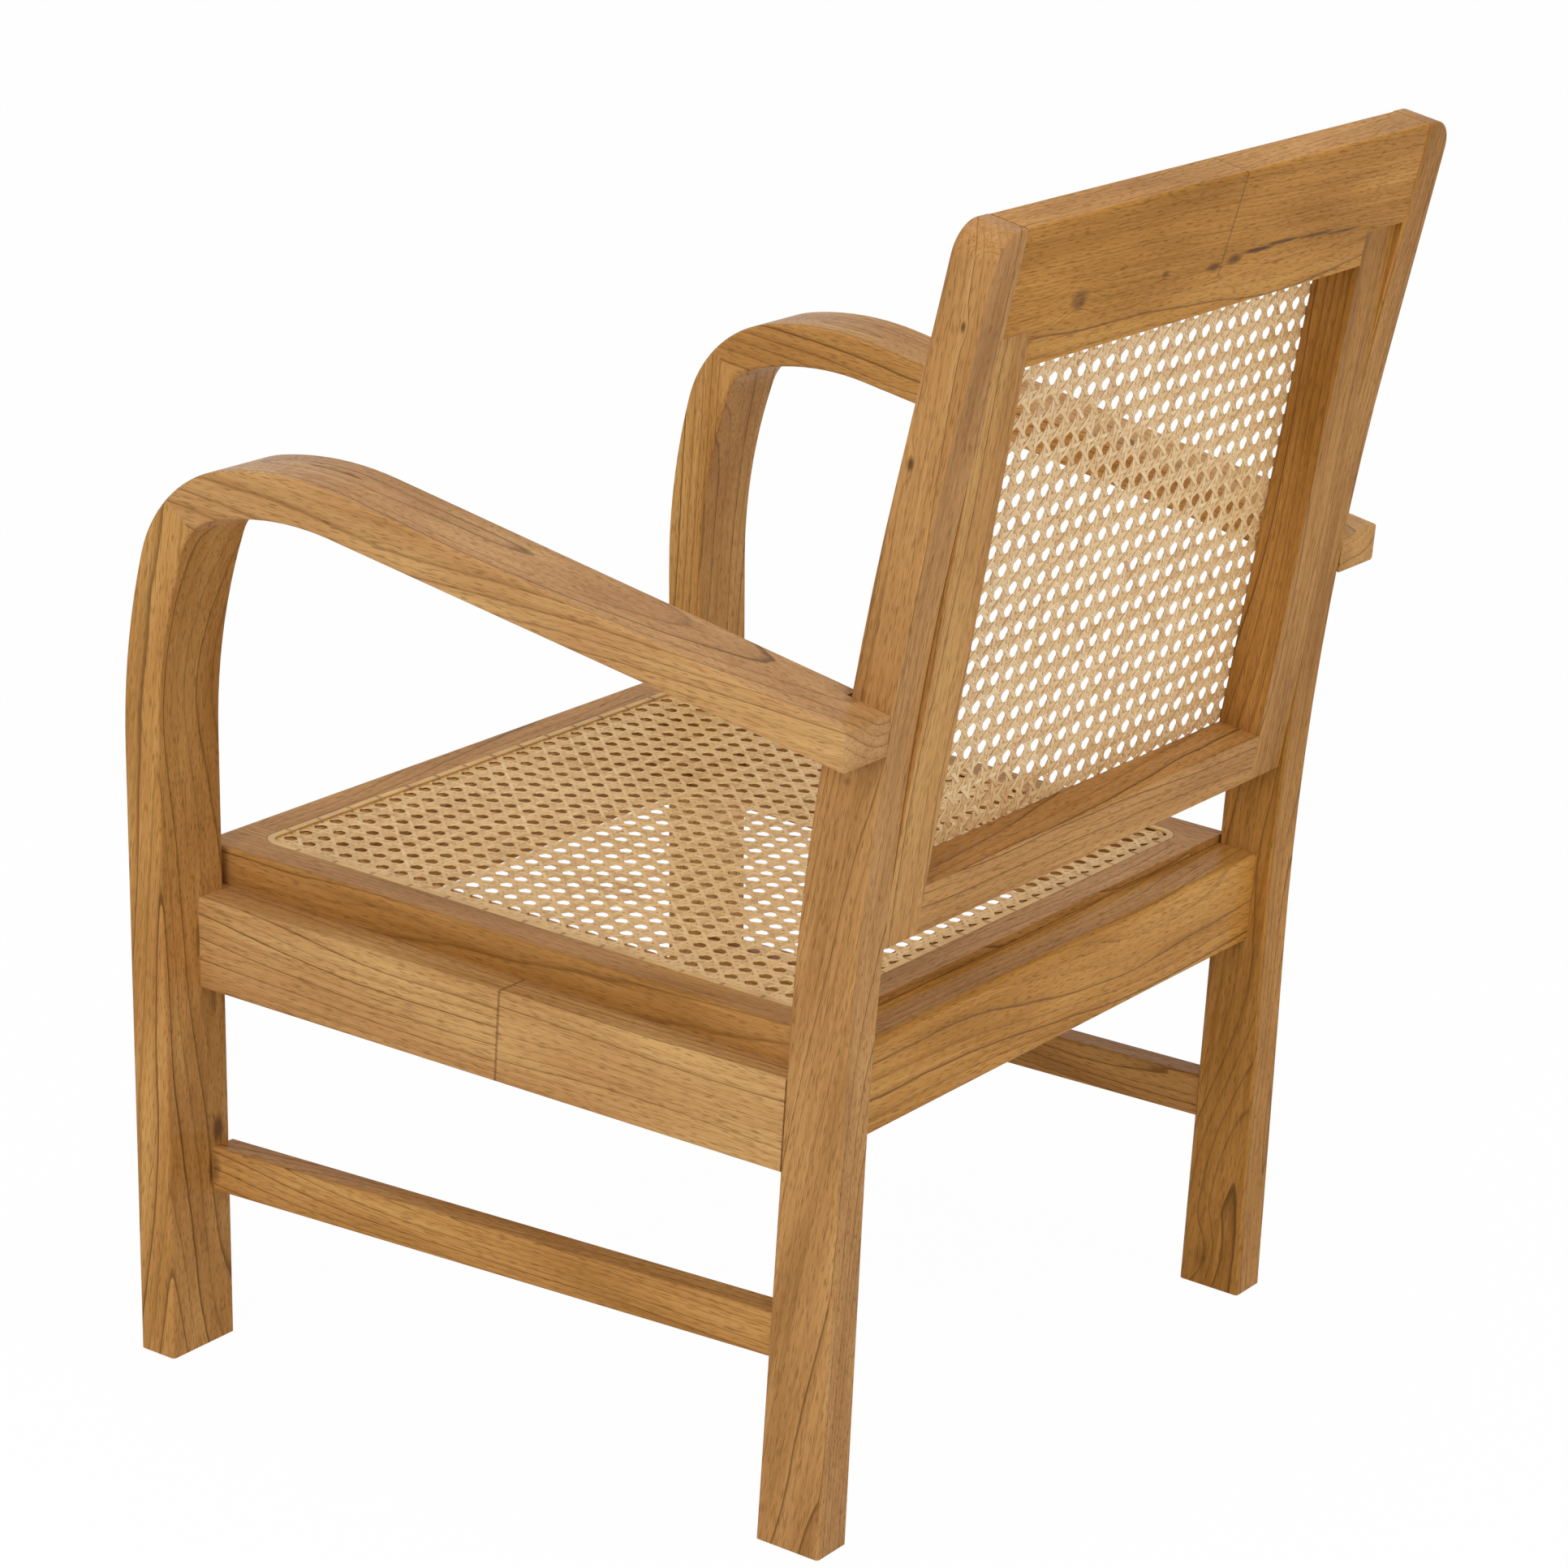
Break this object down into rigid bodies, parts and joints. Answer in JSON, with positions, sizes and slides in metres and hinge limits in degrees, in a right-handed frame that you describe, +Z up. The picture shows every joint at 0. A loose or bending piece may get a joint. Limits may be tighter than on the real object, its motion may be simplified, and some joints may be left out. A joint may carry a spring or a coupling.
{
  "type": "cane armchair",
  "caption": "Teak armchair with curved open arms mitred to broad front legs, a raked back and a low seat, both filled with woven cane.",
  "frame": {"origin": "on the floor, in the middle of the chair's width and depth", "axes": "+Z up, the sitter faces -Y, +X is the sitter's left"},
  "size_m": [0.702, 0.5959, 0.8798],
  "materials": {
    "teak_post_left": "satin",
    "teak_post_right": "satin",
    "teak_leg_left": "satin",
    "teak_leg_right": "satin",
    "teak_arm_left": "satin",
    "teak_arm_right": "satin",
    "teak_side_rails": "satin",
    "teak_stretchers": "satin",
    "teak_back_rail": "satin",
    "teak_front_rail": "satin",
    "teak_crest": "satin",
    "teak_panel_top": "satin",
    "teak_panel_bottom": "satin",
    "teak_stiles": "satin",
    "cane_back": "satin",
    "reed_spline": "satin",
    "teak_seat_sides": "satin",
    "teak_seat_ends": "satin",
    "cane_seat": "satin",
    "cane_binder": "satin",
    "teak_blocks": "satin",
    "glide_plastic": "matte",
    "teak_tenons": "matte",
    "screw_steel": "satin"
  },
  "bodies": {
    "root": {"back_post_left": "teak_post_left", "back_post_right": "teak_post_right", "front_leg_left": "teak_leg_left", "front_leg_right": "teak_leg_right", "arm_left": "teak_arm_left", "arm_right": "teak_arm_right", "side_rail_left": "teak_side_rails", "side_rail_right": "teak_side_rails", "side_stretcher_left": "teak_stretchers", "side_stretcher_right": "teak_stretchers", "back_rail": "teak_back_rail", "front_rail": "teak_front_rail", "crest_rail": "teak_crest", "back_panel_top_member": "teak_panel_top", "back_panel_bottom_rail": "teak_panel_bottom", "back_stile_left": "teak_stiles", "back_stile_right": "teak_stiles", "back_cane_panel": "cane_back", "back_cane_spline": "reed_spline", "seat_frame_left": "teak_seat_sides", "seat_frame_right": "teak_seat_sides", "seat_frame_front": "teak_seat_ends", "seat_frame_back": "teak_seat_ends", "seat_cane_panel": "cane_seat", "seat_cane_binding": "cane_binder", "corner_block_front_left": "teak_blocks", "corner_block_front_right": "teak_blocks", "corner_block_rear_left": "teak_blocks", "corner_block_rear_right": "teak_blocks", "foot_glide_front_left": "glide_plastic", "foot_glide_front_right": "glide_plastic", "foot_glide_rear_left": "glide_plastic", "foot_glide_rear_right": "glide_plastic", "arm_mitre_tenon_left": "teak_tenons", "arm_mitre_tenon_right": "teak_tenons", "arm_screws": "screw_steel", "seat_screws": "screw_steel"}
  },
  "joints": []
}
